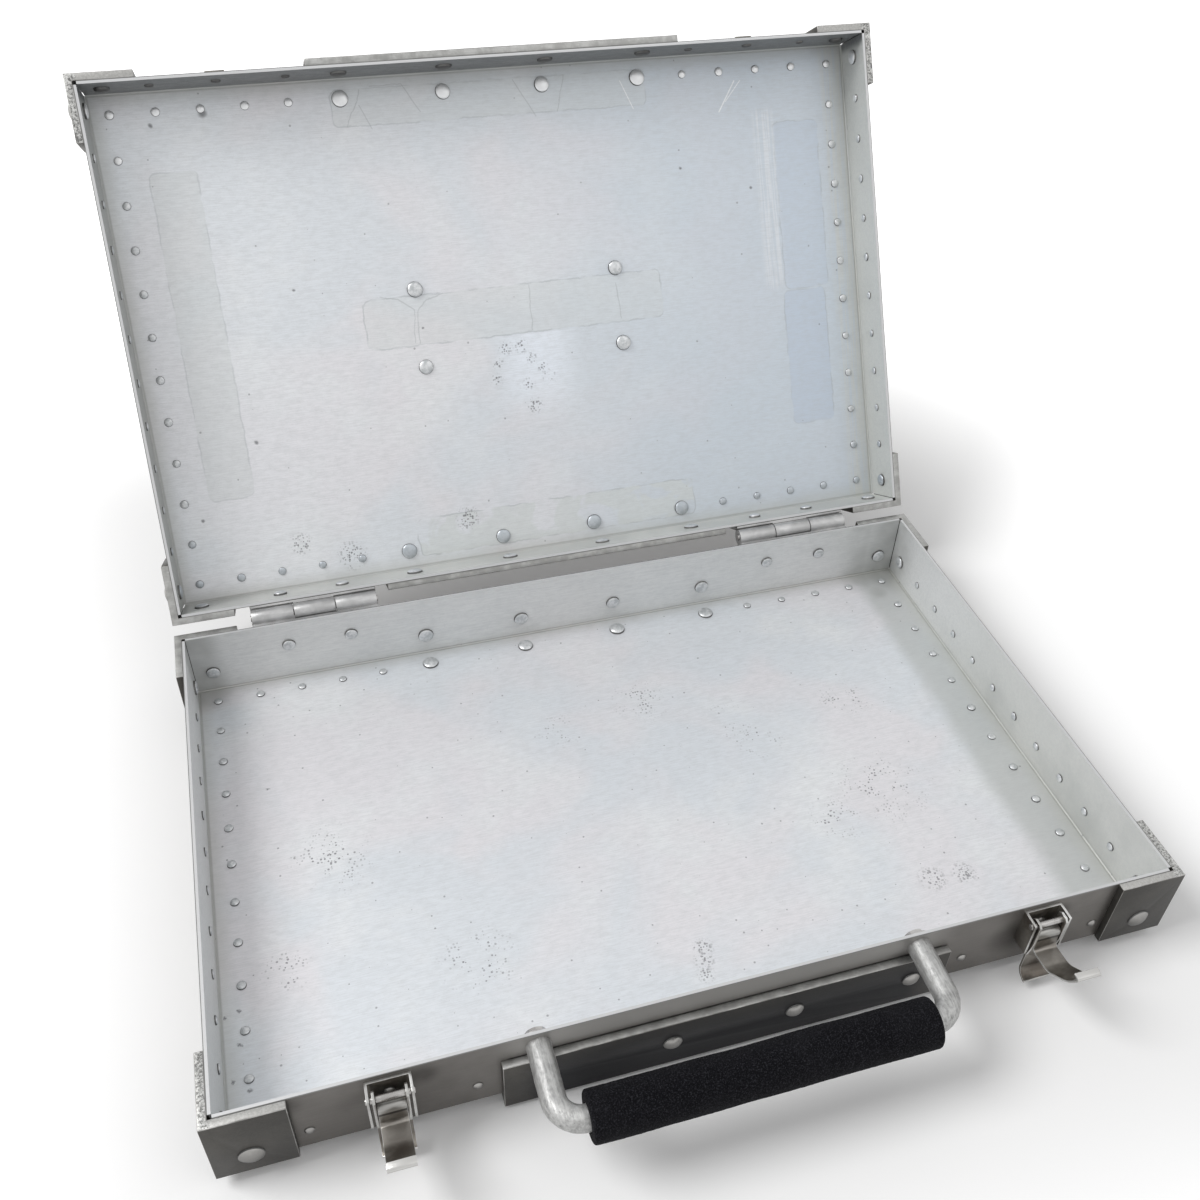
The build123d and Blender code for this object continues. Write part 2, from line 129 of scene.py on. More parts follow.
# Handle
handle_arm_x = 94 * mm
handle_reach = 38 * mm
handle_bend = 12 * mm
handle_height = 36.2 * mm
rod_radius = 5.9 * mm
rod_segments = 36
arm_steps = 8
bend_steps = 14
bar_steps = 18
stud_radius = 3 * mm
stud_length = 5.6 * mm
stud_end_ease = 0.5 * mm
grip_radius = 11.9 * mm
grip_end_gap = 0.2 * mm
grip_end_round = 1.4 * mm
grip_round_steps = 4
grip_play = 0.05 * mm
grip_bore_ease = (0.5 * mm, 0.4 * mm)
grip_steps = 150
grip_segments = 84
nut_radius = 5.75 * mm
nut_bore_radius = 3.05 * mm
nut_height = 3 * mm
nut_crown_drop = 0.1 * mm
nut_face_share = 0.97
nut_segments = 48
washer_radius = 8 * mm
washer_thickness = 1.2 * mm
washer_hole_radius = 3.2 * mm
washer_ease = 0.25 * mm
washer_segments = 36

# Uneven skins of the rod and the foam: scale and depth of two patterns, and how far both sink it
rod_dents = ((320, 0.16 * mm), (900, 0.07 * mm), 0.05 * mm)
foam_swells = ((38, 0.35 * mm), (700, 0.12 * mm), 0.3 * mm)

# Eased edges. The hinge's base leaf has a step of 0.15 mm that a wider ease would fold over.
angle_ease = 0.35 * mm
base_leaf_ease = 0.07 * mm
lid_leaf_ease = 0.3 * mm
pin_ease = 0.3 * mm
latch_ease = 0.2 * mm
ease_segments = 2
eased_from = radians(35)
smooth_below = radians(32)
sharp_from = radians(50)
flat_below = radians(0.5)
same_place = 1e-6
# A cut edge is narrower than this share of the stock, and, where only edges facing up get the
# bright metal as painted light from above, its normal leans this far up
cut_share = 1.15
facing_share = 0.7

# Where the claws' parts lie along them, from the claw pin or back from the tip
claw_roll = 2.6 * mm
claw_wiped = (25 * mm, 19 * mm)
claw_lip = (4.4 * mm, 4.1 * mm)
claw_wave_length = 13 * mm
claw_wave_height = 1 * mm

# Light levels; lamps have a place, a size and a power
floor_reach = 6
floor_tone = 0.92
floor_glow = 0.05
far_glow = 0.6
glow_reach = 0.25
world_light = 0.46
lamps = [
    ("key_lamp", (-2, 0.2, 2.45), 1.6, 60),
    ("fill_lamp", (0.9, -0.9, 1.6), 1.6, 3.5),
]
lamp_aim = Vector((0, 0, 0.05))

# Frames of the two halves
base_frame = Matrix.Translation((0, case_y, tray_low.z))
hinge_place = Matrix.Translation(hinge_point)
swing = hinge_place @ Matrix.Rotation(-open_angle, 4, "X") @ hinge_place.inverted()
lid_top = base_height + rim_gap + lid_height
upside_down = Matrix.Translation((0, 0, lid_top)) @ Matrix.Diagonal((1, 1, -1, 1))
half_frames = {"base": base_frame, "lid": swing @ base_frame @ upside_down}
half_bodies = {"base": "root", "lid": "lid"}
outward = {"front": (0, -1, 0), "back": (0, 1, 0), "left": (-1, 0, 0), "right": (1, 0, 0)}

# Marks, all in millimetres in the frame of their half.
# Worn tape on the lid: low corner, high corner, how strongly the patch and its outline show
lid_tapes = [
    (-207, -104, -180, 88, 0.38, 0.3),
    (-98, -20, 94, 10, 0.32, 0.45),
    (-98, -142, 97, -121, 0.3, 0.35),
    (-85, 118, 102, 142, 0.7, 0.45),
]
lid_blue_tapes = [(181, -104, 212, 2, 0.45, 0.4), (179, 3, 209, 92, 0.65, 0.4)]
# Tape whose low y is past this is torn
torn_tape_y = 100
tape_corner = 3.5 * mm
# Scuffed strip beside the blue tape: x from and to, y from and to
lid_worn_edge = (168, 181, -112, 0)
# Polished smear: middle x, upper edge, y where it starts to fade and y where it ends; half widths
lid_smear = (6, 11, 34, 72)
lid_smear_width = (34, 6)
# Spots: x, y and radius
lid_specks = [
    (-21, 37, 5), (-19, 27, 5), (-13, 18, 6), (-3, 18, 6), (3, 26, 5), (9, 32, 5),
    (13, 39, 6), (-1, 42, 5), (1, 56, 7), (-128, 134, 12), (-158, 122, 9), (-52, 122, 10),
]
lid_nicks = [
    (-201, -130, 1.7), (-171.4, -134.6, 3.5), (-137, -31, 1.3), (-63, 0, 1.2),
    (-174, 56, 1.7), (-213, 99, 1.6), (162, -65, 1.4), (115, -81, 1.3),
]
base_nicks = [
    (-224, -76, 1.4), (-231, -78, 1.3), (-225, -94, 1.5),
    (-222, -118, 1.6), (-229, -112, 1.5), (-199, 60, 1.4),
]
base_pits = [
    (-171, 2, 30), (26, 72, 22), (72, 42, 18), (140, -30, 34), (105, -45, 20),
    (-107, -80, 26), (-28, 60, 16), (-200, -60, 16), (85, 22, 18), (148, 40, 20),
]
base_smudges = [(4, -103, 7), (2, -110, 7), (0, -118, 6), (138, -96, 10), (156, -97, 9)]
# Darker patches in the rear corners of the base, on its floor and up its walls
base_dark_corners = [(228, 145, 27), (206, 143, 16), (-228, 144, 18), (215, 128, 9)]
# Painted shadow of the latch brackets, mixed with stains, on the front wall beside the latches: x,
# z and radius
latch_shadows_and_stains = [
    (-174, 24, 15), (-146, 36, 11), (147, 22, 17), (172, 34, 9), (-203, 38, 9),
]
# Lines: x and y of both ends, and width
lid_scratches = [
    (81, -136, 88, -119, 0.45), (157, -131, 145, -113, 0.6), (161, -131, 150, -119, 0.4),
]
lid_creases = [
    (-86, -21, -76, -19, 0.5), (-76, -19, -67, -12, 0.6), (-48, -20, -58, -17, 0.5),
    (-58, -17, -65, -11, 0.6), (-67, -12, -69, 8, 0.5), (-65, -11, -66, 9, 0.5),
    (7, -19, 6, 9, 0.5), (64, -14, 65, 8, 0.5), (-80, -141, -90, -121, 0.5),
    (-82, -133, -76, -119, 0.5), (-74, -143, -55, -143, 0.5), (-55, -143, -46, -127, 0.5),
    (13, -141, 25, -119, 0.5), (45, -142, 39, -121, 0.5),
]
# Painted shadow of the right wall: a darker band along the right side of the base floor
right_wall_shadow_edge = 203 * mm
right_wall_shadow_soft = 14 * mm
# Cut edges of both sheets, at the rims of the halves
rim_colour = (0.58, 0.585, 0.59)


def in_metres(mark):
    return [value * mm for value in mark]


class Look:
    """Node tree of one material or of the world, with short calls for the nodes that they share.

    Colour and relief are laid on in layers, each over the ones before.
    """

    def __init__(self, owner):
        self.owner = owner
        owner.use_nodes = True
        self.tree = owner.node_tree
        self.nodes = self.tree.nodes
        self.colour = None
        self.normal = None

    def feed(self, socket, value):
        """Link a socket to a node's output, or set it to a plain value."""
        if isinstance(value, bpy.types.NodeSocket):
            self.tree.links.new(value, socket)
        else:
            socket.default_value = (*value, 1) if socket.type == "RGBA" else value

    def fill(self, node, inputs):
        for name, value in inputs.items():
            self.feed(node.inputs[name], value)

    def node(self, kind, inputs=None, **settings):
        made = self.nodes.new("ShaderNode" + kind)
        for name, value in settings.items():
            setattr(made, name, value)
        self.fill(made, inputs or {})
        return made

    def axes(self, vector=None):
        return self.node("SeparateXYZ", {0: vector or self.place}).outputs

    def vector(self, x, y, z=0):
        return self.node("CombineXYZ", {"X": x, "Y": y, "Z": z}).outputs[0]

    def math(self, operation, *values, clamp=False):
        inputs = dict(enumerate(values))
        return self.node("Math", inputs, operation=operation, use_clamp=clamp).outputs[0]

    def times(self, first, *others):
        for other in others:
            first = self.math("MULTIPLY", first, other)
        return first

    def larger(self, first, *others):
        for other in others:
            first = self.math("MAXIMUM", first, other)
        return first

    def minus(self, value, other):
        return self.math("SUBTRACT", value, other)

    def linear(self, value, slope, offset):
        return self.math("MULTIPLY_ADD", value, slope, offset)

    def size(self, value):
        return self.math("ABSOLUTE", value)

    def inset(self, x, y, reach_x, reach_y):
        """How far a point is inside a rectangle round the origin."""
        inside_x, inside_y = self.minus(reach_x, self.size(x)), self.minus(reach_y, self.size(y))
        return self.math("MINIMUM", inside_x, inside_y)

    def vector_math(self, operation, *values):
        made = self.node("VectorMath", dict(enumerate(values)), operation=operation)
        is_number = operation in ("LENGTH", "DISTANCE", "DOT_PRODUCT")
        return made.outputs["Value" if is_number else "Vector"]

    def fade(self, value, low, high):
        """0 below low, 1 above high, and smooth between; low may be the larger."""
        made = self.node("MapRange", {"Value": value}, interpolation_type="SMOOTHSTEP")
        self.fill(made, {"From Min": min(low, high), "From Max": max(low, high)})
        self.fill(made, {"To Min": float(low > high), "To Max": float(low < high)})
        return made.outputs["Result"]

    def between(self, value, low, high, soft):
        """1 from low to high, and 0 outside, with soft edges."""
        rising = self.fade(value, low - soft, low + soft)
        return self.times(rising, self.fade(value, high + soft, high - soft))

    def noise(self, scale, detail=2, roughness=0.5, distortion=0, stretch=None):
        place = self.vector_math("MULTIPLY", self.place, stretch) if stretch else self.place
        made = self.node("TexNoise", {"Vector": place, "Scale": scale, "Detail": detail})
        self.fill(made, {"Roughness": roughness, "Distortion": distortion})
        return made.outputs["Fac"]

    def brushed(self, along):
        """Fine streaks along one axis, as a height from 0 to 1."""
        stretch = [14 if axis == along else 280 for axis in "xyz"]
        return self.noise(6, 3, 0.7, stretch=stretch)

    def dots(self, flat, spacing, size, share, seed):
        """Small round dots in a plane, of a share of the cells of a random pattern."""
        inputs = {"Vector": self.vector_math("ADD", flat, (seed, seed, 0)), "Scale": 1 / spacing}
        cells = self.node("TexVoronoi", inputs, voronoi_dimensions="2D").outputs
        lottery = self.node("SeparateColor", {0: cells["Color"]}).outputs
        radius = self.times(lottery[1], size / spacing)
        dot = self.fade(self.minus(radius, cells["Distance"]), 0, 0.3 * size / spacing)
        return self.times(dot, self.math("LESS_THAN", lottery[0], share))

    def spots(self, flat, centres):
        """1 round each (x, y, radius) and fading to 0 at that radius."""
        found = []
        for x, y, radius in map(in_metres, centres):
            away = self.vector_math("DISTANCE", flat, (x, y, 0))
            found.append(self.fade(away, radius, 0.2 * radius))
        return self.larger(*found)

    def strokes(self, flat, lines):
        """1 along each (x, y, x, y, width) line and fading to 0 at its width."""
        found = []
        for x0, y0, x1, y1, width in map(in_metres, lines):
            run = Vector((x1 - x0, y1 - y0, 0))
            offset = self.vector_math("SUBTRACT", flat, (x0, y0, 0))
            along = self.vector_math("DOT_PRODUCT", offset, run / run.length_squared)
            along = self.math("ADD", along, 0, clamp=True)
            foot = self.vector_math("MULTIPLY", self.vector(along, along, along), run)
            away = self.vector_math("DISTANCE", offset, foot)
            found.append(self.fade(away, width, 0.2 * width))
        return self.larger(*found)

    def patch(self, x, y, corners):
        """Rectangle with round corners, and its thin outline, each from 0 to 1."""
        x0, y0, x1, y1 = in_metres(corners)
        past = []
        for value, low, high in ((x, x0, x1), (y, y0, y1)):
            away = self.size(self.minus(value, (low + high) / 2))
            past.append(self.larger(self.minus(away, (high - low) / 2 - tape_corner), 0))
        out = self.minus(self.vector_math("LENGTH", self.vector(*past)), tape_corner)
        outline = self.fade(self.size(out), 0.65 * mm, 0.2 * mm)
        return self.fade(out, 0.4 * mm, -0.4 * mm), outline

    def seen(self):
        """1 for what the camera sees, also in reflections, and 0 for light that falls on things."""
        rays = self.node("LightPath").outputs
        kinds = ("Camera", "Glossy", "Transmission")
        return self.larger(*[rays[f"Is {kind} Ray"] for kind in kinds])

    def mix(self, factor, low, high):
        made = self.node("Mix", {0: factor}, data_type="RGBA")
        colours = [socket for socket in made.inputs if socket.type == "RGBA"]
        self.feed(colours[0], low)
        self.feed(colours[1], high)
        return next(socket for socket in made.outputs if socket.type == "RGBA")

    def blend(self, value, start, end, low, high):
        """Lay on one colour where the value is below start, and the other where it is above end."""
        self.colour = self.mix(self.fade(value, start, end), low, high)

    def tint(self, tone, *masks):
        """Mix a tone in, as strongly as the product of the masks says."""
        self.colour = self.mix(self.times(*masks), self.colour, tone)

    def relief(self, height, depth):
        """Lay on a bump."""
        made = self.node("Bump", {"Height": height, "Distance": depth})
        if self.normal:
            self.feed(made.inputs["Normal"], self.normal)
        self.normal = made.outputs["Normal"]

    def finish(self, roughness, metallic):
        shader = self.nodes["Principled BSDF"]
        self.fill(shader, {"Base Color": self.colour, "Normal": self.normal})
        self.fill(shader, {"Roughness": roughness, "Metallic": metallic})
        return self.owner


def new_look(name, half=None):
    """Look of a new material, placed in the row frame or in the frame of one half."""
    look = Look(bpy.data.materials.new(name))
    look.place = look.node("TexCoord").outputs["Object"]
    if half:
        mapping = look.node("Mapping", {"Vector": look.place})
        look.fill(mapping, {"Location": half_frames[half].inverted().translation})
        if half == "lid":
            look.fill(mapping, {"Rotation": (-open_angle, 0, 0), "Scale": (1, 1, -1)})
        look.place = mapping.outputs["Vector"]
    return look


def lid_marks(look, rough):
    """Painted light, lighter to the left and darker and bluer to the right, then tape, polish,
    scratches and creases on the lid panel; gives roughness and damage.
    """
    x, y, _ = look.axes()
    flat = look.vector(x, y)
    # Painted light: the panel is lighter towards the left and darker and bluer towards the right
    look.tint((0.84, 0.865, 0.895), look.fade(x, -60 * mm, -220 * mm), 0.5)
    look.tint((0.545, 0.61, 0.675), look.fade(x, -80 * mm, 190 * mm), 0.8)
    wobble = look.linear(look.noise(110, 5, 0.65), 3.6 * mm, -1.8 * mm)
    edge_x = look.math("ADD", x, wobble)
    edge_y = look.math("ADD", y, wobble)
    edge = look.vector(edge_x, edge_y)
    torn = look.fade(look.noise(45, distortion=0.8), 0.4, 0.5)
    faint = look.fade(look.noise(70), 0.38, 0.58)
    for patches, tone in ((lid_tapes, (0.635, 0.665, 0.66)), (lid_blue_tapes, (0.5, 0.57, 0.67))):
        for *corners, fill, line in patches:
            filled, outline = look.patch(edge_x, edge_y, corners)
            left_over = [torn] if corners[1] > torn_tape_y else []
            look.tint(tone, filled, fill, *left_over)
            look.tint((0.36, 0.39, 0.41), outline, faint, line)
    x0, x1, y0, y1 = in_metres(lid_worn_edge)
    streaks = look.noise(6, stretch=(110, 3, 3))
    strip = look.times(look.between(x, x0, x1, 3 * mm), look.between(y, y0, y1, 4 * mm))
    look.tint((0.74, 0.76, 0.79), strip, look.fade(streaks, 0.4, 0.6), 0.6)

    smear_x, top, fading, end = in_metres(lid_smear)
    across = look.fade(look.size(look.minus(x, smear_x)), *in_metres(lid_smear_width))
    down = look.times(look.fade(edge_y, top - mm, top + mm), look.fade(y, end, fading))
    polished = look.times(across, down)
    look.tint((0.8, 0.845, 0.91), polished, 0.75)
    look.tint((0.33, 0.35, 0.36), look.strokes(edge, lid_creases), 0.4)
    margin = look.times(look.fade(x, 213 * mm, 222 * mm), look.fade(streaks, 0.35, 0.6))
    look.tint((0.66, 0.655, 0.6), margin, 0.5)
    look.tint((0.92, 0.93, 0.94), look.strokes(flat, lid_scratches), 0.8)
    specks = look.dots(flat, 1.4 * mm, 0.9 * mm, share=0.75, seed=3.1)
    loose = look.dots(flat, 17 * mm, 0.8 * mm, share=0.25, seed=5.7)
    return look.linear(polished, -0.12, rough), look.larger(
        look.times(specks, look.spots(flat, lid_specks)),
        look.times(loose, 0.6),
        look.spots(edge, lid_nicks),
    )


def base_marks(look, clouds):
    """Painted shadow of the right wall, pits, dents and smudges on the base floor; gives the
    damage.
    """
    x, y, _ = look.axes()
    flat = look.vector(x, y)
    # Painted shadow of the right wall on the floor, with a ragged inner edge
    ragged = look.linear(clouds, right_wall_shadow_soft, x)
    band = look.fade(ragged, right_wall_shadow_edge, right_wall_shadow_edge + right_wall_shadow_soft)
    look.tint((0.5, 0.52, 0.51), band, 0.75)
    pits = look.dots(flat, 1.9 * mm, 0.75 * mm, share=0.75, seed=1.3)
    patchy = look.fade(look.noise(85), 0.44, 0.56)
    loose = look.dots(flat, 9 * mm, 0.7 * mm, share=0.3, seed=8.2)
    bent = look.linear(look.noise(700), 3 * mm, -1.5 * mm)
    bent = look.vector_math("ADD", flat, look.vector(bent, look.times(bent, -1)))
    crackle = look.dots(flat, 1.3 * mm, 1 * mm, share=0.9, seed=4.4)
    return look.larger(
        look.times(pits, patchy, look.spots(flat, base_pits)),
        look.times(loose, 0.7),
        look.spots(bent, base_nicks),
        look.times(look.spots(flat, base_smudges), crackle, 0.9),
    )


def sheet_inside(half):
    """Inner face of a half: brushed, clouded and pitted floor, duller walls, painted shade on some
    walls and on the floor along them, bright rim.
    """
    look = new_look(f"{half}_sheet_inside", half)
    x, y, z = look.axes()
    clouds = look.noise(14, 4, 0.6)
    grain = look.brushed("x")
    speckle = look.noise(900, roughness=0.7)

    # Walls
    look.blend(clouds, 0.35, 0.65, (0.52, 0.53, 0.51), (0.63, 0.635, 0.61))
    from_right = look.fade(x, half_x - 10 * mm, half_x - 4 * mm)
    if half == "lid":
        look.tint((0.7, 0.71, 0.68), from_right, 0.6)
        look.tint((0.3, 0.305, 0.29), look.fade(x, 6 * mm - half_x, 3 * mm - half_x), 0.6)
        # Painted shade on the inner face of the lid's front wall
        look.tint((0.115, 0.12, 0.125), look.fade(y, 10 * mm - half_y, 4 * mm - half_y), 0.88)
    else:
        # The base's walls are made lighter, except the right wall towards the front, which keeps
        # the darker tone as painted shade
        shaded_right_wall = look.times(from_right, look.fade(y, 120 * mm, 0))
        look.tint((0.79, 0.8, 0.8), look.minus(1, shaded_right_wall), 0.75)
    wall = look.colour

    # Floor or panel
    hues = look.noise(11, distortion=0.6)
    look.blend(hues, 0.4, 0.6, (0.7, 0.73, 0.765), (0.75, 0.738, 0.763))
    look.tint((0.775, 0.79, 0.805), look.fade(clouds, 0.45, 0.75))
    rough = look.linear(grain, 0.18, 0.42)
    if half == "lid":
        rough, damage = lid_marks(look, rough)
    else:
        damage = base_marks(look, clouds)
    on_floor = look.fade(z, skin + 1.6 * mm, skin + 0.4 * mm)
    look.colour = look.mix(on_floor, wall, look.colour)

    # Darker patches in the rear corners, painted shade on the floor along the foot of the walls,
    # and a dark seam along the folds
    if half == "base":
        dark_corner_mask = look.times(look.spots(look.vector(x, y), base_dark_corners), look.fade(clouds, 0.25, 0.6))
        look.tint((0.26, 0.265, 0.25), dark_corner_mask, 0.6)
    mottle = look.noise(420, 3, 0.7, stretch=(0.45, 1, 1))
    look.tint((0.44, 0.455, 0.46), look.fade(mottle, 0.62, 0.3), 0.17)
    look.tint((0.4, 0.41, 0.42), look.fade(grain, 0.62, 0.35), 0.18)
    from_wall = look.inset(x, y, half_x - skin, half_y - skin)
    ragged = look.linear(clouds, 10 * mm, from_wall)
    look.tint((0.5, 0.5, 0.46), look.fade(ragged, 16 * mm, 5 * mm), on_floor, 0.4)
    look.tint((0.3, 0.3, 0.28), look.fade(from_wall, 1.9 * mm, 0.9 * mm), on_floor, 0.5)

    damage = look.times(damage, on_floor)
    look.tint((0.16, 0.16, 0.17), damage, 0.8)
    look.tint((0.5, 0.5, 0.5), look.fade(speckle, 0.55, 0.8), 0.25)
    look.tint(rim_colour, look.fade(z, heights[half] - 0.35 * mm, heights[half] - 0.1 * mm))
    look.relief(grain, 0.03 * mm)
    look.relief(speckle, 0.03 * mm)
    look.relief(look.minus(1, damage), 0.12 * mm)
    return look.finish(rough, 0.5)


def sheet_outside(half):
    """Outer face of a half: dark handled metal, its darkness partly painted shade, with light
    scratches and a bright rim.
    """
    look = new_look(f"{half}_sheet_outside", half)
    x, y, z = look.axes()
    clouds = look.noise(22, 5, 0.6)
    grain = look.brushed("x")
    # Dark tone: partly the metal's own, partly painted shade
    look.blend(clouds, 0.35, 0.7, (0.122, 0.113, 0.103), (0.182, 0.172, 0.16))
    look.tint((0.28, 0.27, 0.26), grain, 0.3)
    # The wall above the centre angle is brighter: partly rubbed by handling, partly a painted
    # reflection
    rub_and_reflection = look.between(x, -105 * mm, 105 * mm, 14 * mm)
    look.tint((0.46, 0.45, 0.435), rub_and_reflection, look.fade(z, 27 * mm, 36 * mm), 0.7)
    if half == "base":
        # A dark line along the upper edge of the centre angle, and beside the latches painted
        # shadow of their brackets mixed with stains
        over_angle = look.between(z, centre_angle_top - mm, centre_angle_top + 0.9 * mm, 0.5 * mm)
        look.tint((0.06, 0.058, 0.055), look.between(x, -108 * mm, 108 * mm, mm), over_angle, 0.8)
        shadows_and_stains = look.spots(look.vector(x, z), latch_shadows_and_stains)
        on_front = look.fade(y, 2 * mm - half_y, -half_y)
        look.tint((0.05, 0.045, 0.04), shadows_and_stains, on_front, look.fade(clouds, 0.25, 0.6), 0.75)
    rim = look.fade(z, heights[half] - 0.35 * mm, heights[half] - 0.1 * mm)
    look.tint(rim_colour, rim)
    seam = look.fade(look.inset(x, y, half_x, half_y), 0.45 * mm, 0.3 * mm)
    look.tint((0.1, 0.1, 0.095), rim, seam, 0.8)
    look.relief(grain, 0.03 * mm)
    look.relief(look.noise(800, roughness=0.7), 0.04 * mm)
    return look.finish(look.linear(clouds, 0.2, 0.34), 0.7)


def angle_metal(half):
    """Mill finish of the angle stock, dark partly as painted shade, with a painted shadow of the
    grip on the base's front centre angle.
    """
    look = new_look(f"{half}_angle_metal", half)
    clouds = look.noise(30, 5, 0.6)
    fine = look.noise(1100, roughness=0.8)
    # Dark tone: partly the metal's own, partly painted shade
    look.blend(clouds, 0.35, 0.7, (0.042, 0.04, 0.037), (0.082, 0.077, 0.069))
    look.tint((0.15, 0.145, 0.135), fine, 0.3)
    if half == "base":
        x, y, z = look.axes()
        # Painted shadow of the grip, darkest low down in the middle of the base's front centre
        # angle
        middle = look.between(x, -98 * mm, 98 * mm, 8 * mm)
        front, low = look.fade(y, 0, -half_y), look.fade(z, 44 * mm, 12 * mm)
        look.tint((0.007, 0.007, 0.009), middle, front, low)
    look.relief(fine, 0.05 * mm)
    return look.finish(look.linear(clouds, 0.2, 0.38), 0.7)


def sawn_metal():
    """Sawn end of the angle stock: bright and speckled, but filed smoother on the front legs."""
    look = new_look("sawn_edge")
    grit = look.noise(800, 4, 0.8)
    look.blend(grit, 0.38, 0.62, (0.13, 0.13, 0.125), (0.64, 0.64, 0.625))
    away = look.linear(look.noise(60, 3), 6 * mm, look.size(look.axes()[0]))
    look.tint((0.42, 0.415, 0.4), look.fade(away, half_x + 3 * mm, half_x), 0.8)
    look.relief(grit, 0.2 * mm)
    return look.finish(0.5, 0.6)


def plain_metal(name, dark, light, roughness, grain_axis=None, cloud_scale=70):
    """Worked metal with tone that varies over the piece."""
    look = new_look(name)
    clouds = look.noise(cloud_scale, 4, 0.6)
    look.blend(clouds, 0.35, 0.68, dark, light)
    look.relief(look.noise(900, roughness=0.8), 0.04 * mm)
    if grain_axis:
        grain = look.brushed(grain_axis)
        look.tint(dark, look.fade(grain, 0.65, 0.35), 0.35)
        look.relief(grain, 0.03 * mm)
    return look.finish(look.linear(clouds, 0.2, roughness - 0.1), 0.8)


def rivet_inner_metal(half):
    """Inner rivet heads: bright, pitted by the hammer, and darkened with painted shade on the front
    wall of the lid.
    """
    look = new_look(f"{half}_rivet_inside", half)
    clouds = look.noise(330, 3, 0.7)
    look.blend(clouds, 0.38, 0.62, (0.47, 0.49, 0.5), (0.66, 0.67, 0.68))
    if half == "lid":
        y = look.axes()[1]
        look.tint((0.86, 0.865, 0.87), look.fade(y, -80 * mm, -110 * mm), 0.8)
        look.tint((0.36, 0.4, 0.44), look.between(y, 110 * mm, 142 * mm, 8 * mm), 0.7)
        # Painted shade on the heads on the lid's front wall
        look.tint((0.05, 0.048, 0.045), look.fade(y, 9 * mm - half_y, 5 * mm - half_y), 0.95)
    look.relief(clouds, 0.12 * mm)
    look.relief(look.noise(1100, roughness=0.8), 0.04 * mm)
    return look.finish(look.linear(clouds, 0.2, 0.28), 0.6)


def rivet_outer_metal():
    """Outer rivet heads: dark metal, partly painted shade, with painted light that makes them
    lighter where they face up and darker where they face down.
    """
    look = new_look("rivet_outside")
    facing_up = look.axes(look.node("TexCoord").outputs["Normal"])[2]
    # Painted light and shade by which way the head faces: lighter facing up, darker facing down
    look.blend(facing_up, -0.7, 0.8, (0.05, 0.048, 0.045), (0.42, 0.41, 0.395))
    look.tint((0.2, 0.197, 0.19), look.fade(look.noise(200, 3), 0.4, 0.6), 0.25)
    look.relief(look.noise(900), 0.04 * mm)
    return look.finish(0.32, 0.7)


def rod_skin():
    """Rough bright skin of the handle rod, with drawn streaks and small dents."""
    look = new_look("rod_metal")
    dents = look.noise(300, 5, 0.7)
    streaks = look.noise(6, 4, 0.75, stretch=(130, 12, 130))
    look.blend(dents, 0.35, 0.65, (0.29, 0.29, 0.285), (0.42, 0.42, 0.415))
    look.tint((0.62, 0.62, 0.61), look.fade(streaks, 0.42, 0.62), 0.5)
    look.tint((0.12, 0.12, 0.115), look.fade(streaks, 0.4, 0.3), 0.7)
    look.relief(dents, 0.3 * mm)
    look.relief(streaks, 0.12 * mm)
    return look.finish(look.linear(dents, 0.2, 0.36), 0.6)


def claw_metal(hand):
    """Brown patina with a wiped band, a painted highlight on the rolled eye and a painted shadow
    below it, ending in a wavy line before the bright lip, which is partly worn and partly a painted
    reflection.
    """
    look = new_look(f"claw_metal_{hand}")
    pin = joint(f"latch_claw_{hand}")["pos_m"]
    claw = frame["nodes"][f"latch_claw_{hand}"].data
    reach = max(hypot(vert.co.y - pin[1], vert.co.z - pin[2]) for vert in claw.vertices)
    offset = look.vector_math("SUBTRACT", look.place, pin)
    from_pin = look.vector_math("LENGTH", look.vector_math("MULTIPLY", offset, (0, 1, 1)))
    clouds = look.noise(90, 4, 0.6)
    look.blend(clouds, 0.35, 0.68, (0.12, 0.105, 0.09), (0.25, 0.235, 0.21))
    wiped = look.between(from_pin, reach - claw_wiped[0], reach - claw_wiped[1], 4 * mm)
    look.tint((0.45, 0.43, 0.4), wiped, 0.55)
    # Painted highlight on the rolled eye round the claw pin, and below it a painted shadow line
    look.tint((0.36, 0.355, 0.34), look.fade(from_pin, claw_roll + 0.3 * mm, claw_roll + 0.1 * mm))
    seam = look.between(from_pin, claw_roll + 0.35 * mm, claw_roll + 1.3 * mm, 0.15 * mm)
    look.tint((0.025, 0.024, 0.022), seam, 0.9)
    # The bright lip past the wavy line is partly worn metal and partly a painted reflection
    wave = look.math("SINE", look.times(look.axes()[0], 2 * pi / claw_wave_length))
    wavy = look.linear(clouds, 1.2 * mm, look.linear(wave, claw_wave_height, from_pin))
    look.tint((0.52, 0.515, 0.5), look.fade(wavy, reach - claw_lip[0], reach - claw_lip[1]))
    look.relief(look.brushed("x"), 0.03 * mm)
    look.relief(look.noise(900, roughness=0.8), 0.04 * mm)
    return look.finish(look.linear(clouds, 0.2, 0.24), 0.8)


